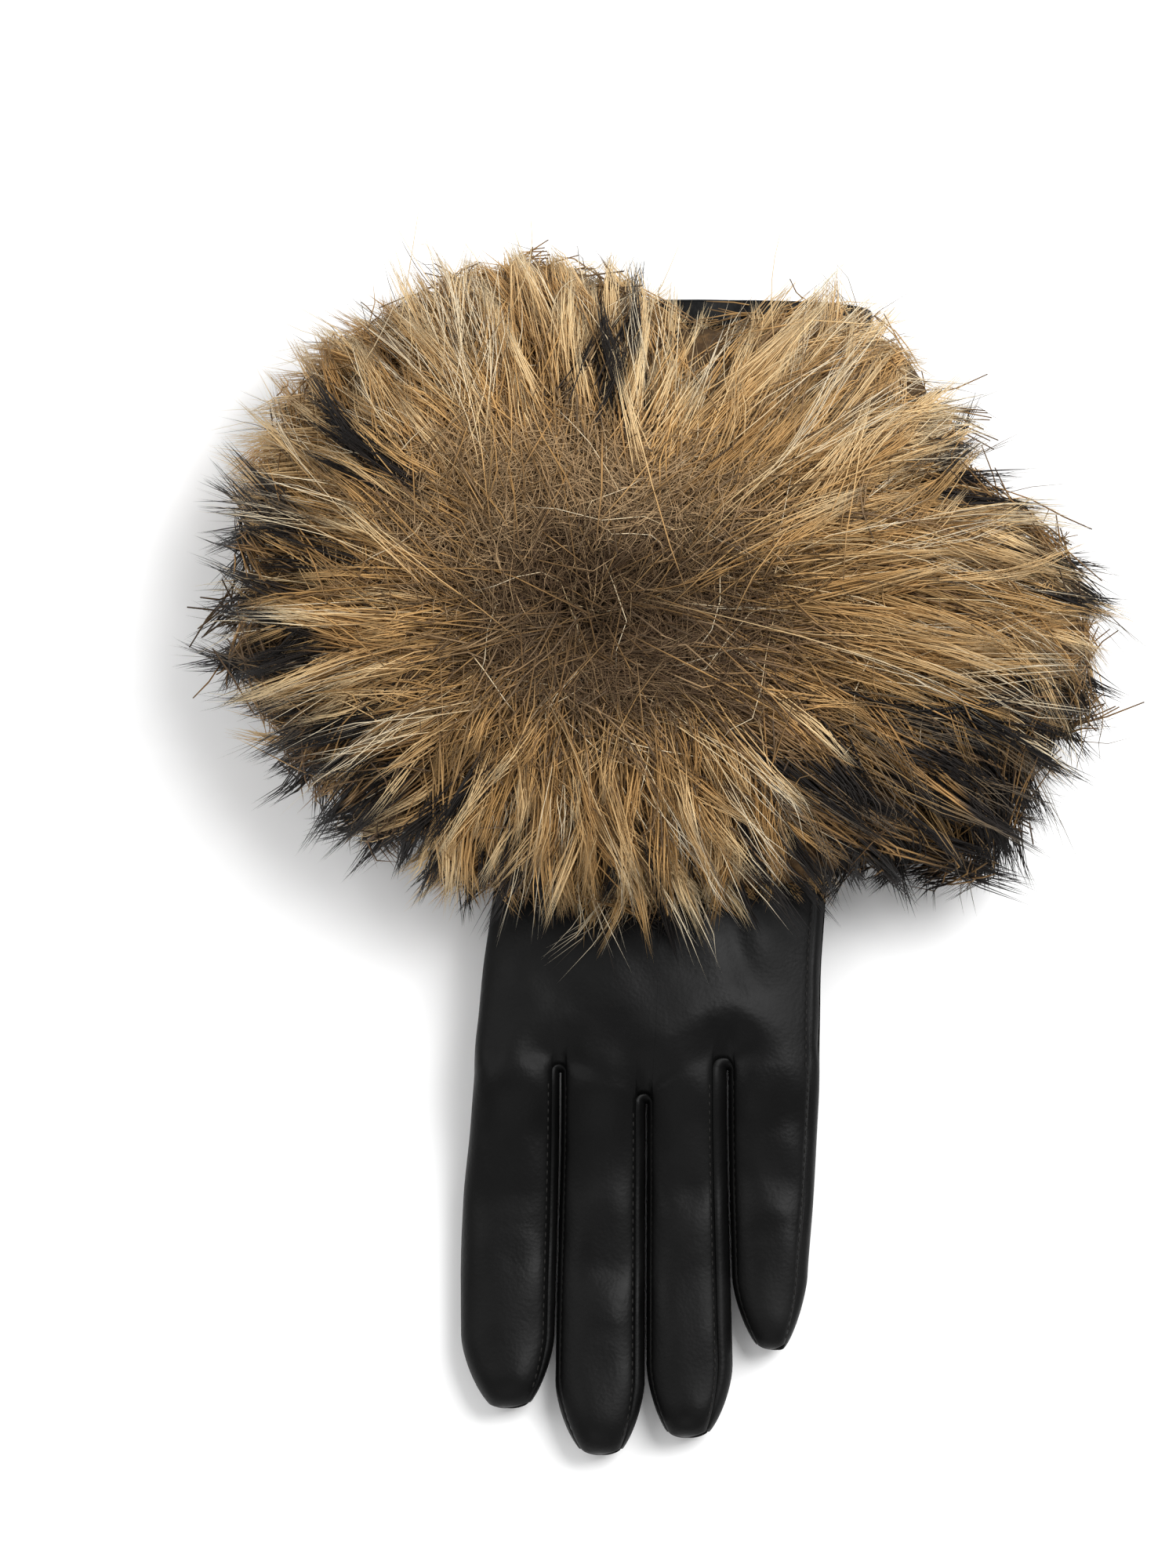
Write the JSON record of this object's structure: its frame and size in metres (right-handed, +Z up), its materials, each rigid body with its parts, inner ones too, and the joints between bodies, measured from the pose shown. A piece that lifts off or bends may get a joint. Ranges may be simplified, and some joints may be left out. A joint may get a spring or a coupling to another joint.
{
  "type": "fur-cuffed leather dress glove",
  "caption": "Left-hand dress glove of smooth black leather with a wide golden fur cuff, lying with its back up.",
  "frame": {"origin": "middle of the glove's bounding box, on the surface it lies on", "axes": "+Y from the fingertips to the wrist opening, +X to the little finger, +Z up, out of the back of the hand"},
  "size_m": [0.2144, 0.2744, 0.0742],
  "materials": {
    "black_leather": "smooth, soft sheen",
    "black_strip_leather": "smooth, nearly matt",
    "golden_fur": "deep fur, matt"
  },
  "bodies": {
    "root": {"back_panel": "black_leather", "cuff_hem": "black_strip_leather", "fourchette_index_middle": "black_strip_leather", "fourchette_middle_ring": "black_strip_leather", "fourchette_ring_little": "black_strip_leather", "fur_cuff": "golden_fur", "palm_panel": "black_leather", "thumb": "black_leather"}
  },
  "joints": []
}
